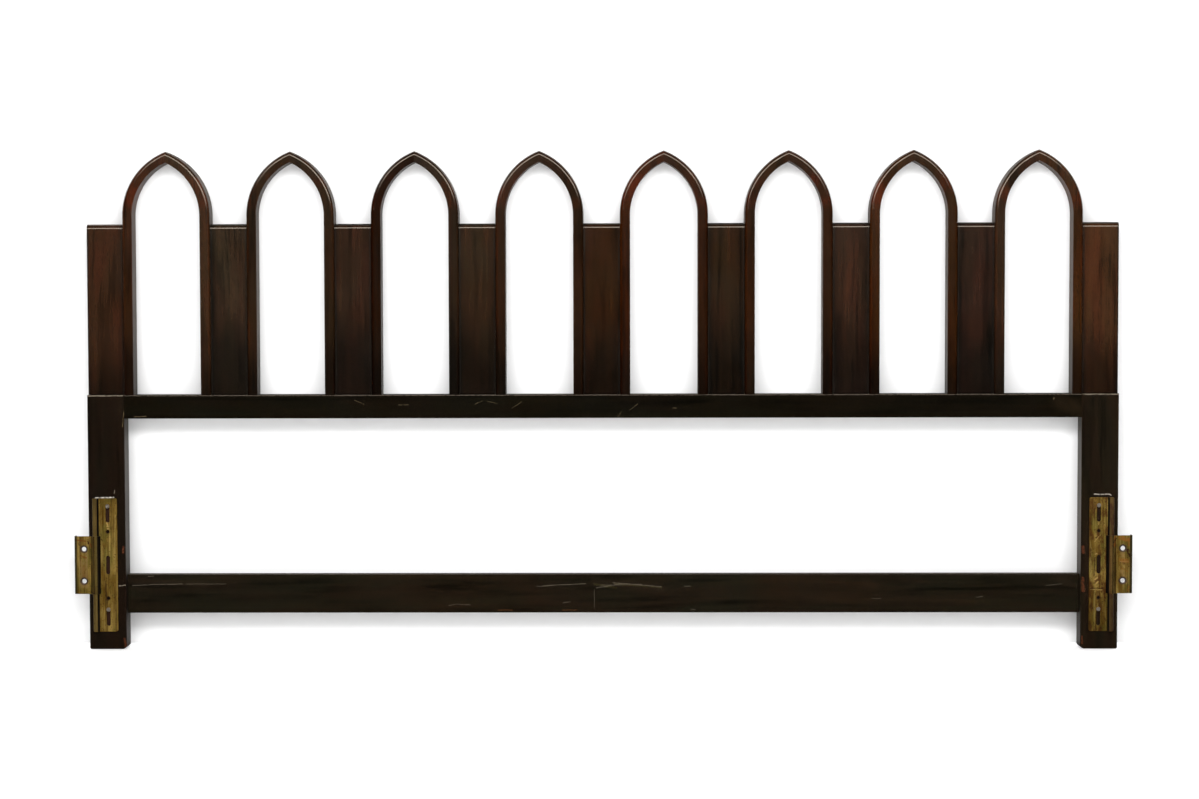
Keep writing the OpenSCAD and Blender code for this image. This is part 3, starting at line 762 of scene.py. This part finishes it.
def stage_material(name, glow, one_sided=False):
    """White paper, whose glow only the camera sees. One-sided paper can't be seen from behind."""
    material, g = new_material(name)
    paper = g.node("ShaderNodeBsdfDiffuse", {"Color": PAPER_WHITE})
    seen = g.node("ShaderNodeLightPath", out="Is Camera Ray")
    lit = g.node("ShaderNodeEmission", {"Strength": g.math("MULTIPLY", seen, glow)})
    shader = g.node("ShaderNodeAddShader", {0: paper, 1: lit})
    if one_sided:
        back = g.node("ShaderNodeNewGeometry", out="Backfacing")
        clear = g.node("ShaderNodeBsdfTransparent")
        shader = g.node("ShaderNodeMixShader", {0: back, 1: shader, 2: clear})
    g.node("ShaderNodeOutputMaterial", {"Surface": shader})
    return material


wall_foot_y = BACK_Y + WALL_GAP_BELOW
wall_top_y = wall_foot_y + (WALL_GAP_ABOVE - WALL_GAP_BELOW) / ARCH_TOP * WALL_HEIGHT
wall_corners = [(-WALL_HALF_WIDTH, wall_foot_y, 0), (WALL_HALF_WIDTH, wall_foot_y, 0),
                (WALL_HALF_WIDTH, wall_top_y, WALL_HEIGHT), (-WALL_HALF_WIDTH, wall_top_y, WALL_HEIGHT)]
backdrop = plane("backdrop", wall_corners, stage_material("backdrop_paper", 0.0, one_sided=True))
backdrop.visible_shadow = False  # so that the lights behind it reach the back of the object

floor_corners = [(x * FLOOR_HALF_WIDTH, y * FLOOR_HALF_WIDTH, -FLOOR_DROP)
                 for x, y in ((-1, -1), (1, -1), (1, 1), (-1, 1))]
floor = plane("floor", floor_corners, stage_material("floor_paper", FLOOR_GLOW))
floor.visible_glossy = False  # the lacquer would mirror it as a grey haze


def softbox(name, place, aim, size, watts, mirrored=True):
    """A rectangular light. With mirrored False it fills the shadows and doesn't show in the lacquer."""
    data = bpy.data.lights.new(name, "AREA")
    data.shape, data.size, data.size_y, data.energy = "RECTANGLE", size[0], size[1], watts
    light = bpy.data.objects.new(name, data)
    light.location = place
    light.rotation_euler = (Vector(aim) - Vector(place)).to_track_quat("-Z", "Y").to_euler()
    light.visible_camera = False
    light.visible_glossy = mirrored
    bpy.context.scene.collection.objects.link(light)


softbox("key", place=(0, -3.1, 2.05), aim=(0, 0, 0.45), size=(4.8, 0.8), watts=140)
softbox("fill", place=(0, -4.2, 1.1), aim=(0, -0.3, 0.3), size=(5.0, 2.0), watts=85, mirrored=False)
for side, sign in SIDES.items():
    softbox(f"back_{side}", place=(sign * 2.4, 2.6, 1.9), aim=(sign * 0.4, 0, 0.5), size=(1.2, 1.2),
            watts=35, mirrored=False)

# The world is white paper for the camera, and almost dark for everything else
world = bpy.data.worlds.new("studio")
bpy.context.scene.world = world
world.use_nodes = True
world.node_tree.nodes.clear()
g = Graph(world.node_tree)
seen = g.node("ShaderNodeLightPath", out="Is Camera Ray")
room = g.node("ShaderNodeBackground", {"Color": WHITE, "Strength": ROOM_LIGHT})
paper = g.node("ShaderNodeBackground", {"Color": WHITE, "Strength": 1.0})
g.node("ShaderNodeOutputWorld", {"Surface": g.node("ShaderNodeMixShader", {0: seen, 1: room, 2: paper})})

camera_data = bpy.data.cameras.new("camera")
camera_data.lens, camera_data.sensor_width = LENS, SENSOR_WIDTH
camera = bpy.data.objects.new("camera", camera_data)
camera.location = CAMERA_PLACE
camera.rotation_euler = [math.radians(angle) for angle in CAMERA_ANGLES]
bpy.context.scene.collection.objects.link(camera)
bpy.context.scene.camera = camera
bpy.context.scene.view_settings.view_transform = "Standard"
bpy.context.scene.view_settings.look = "None"
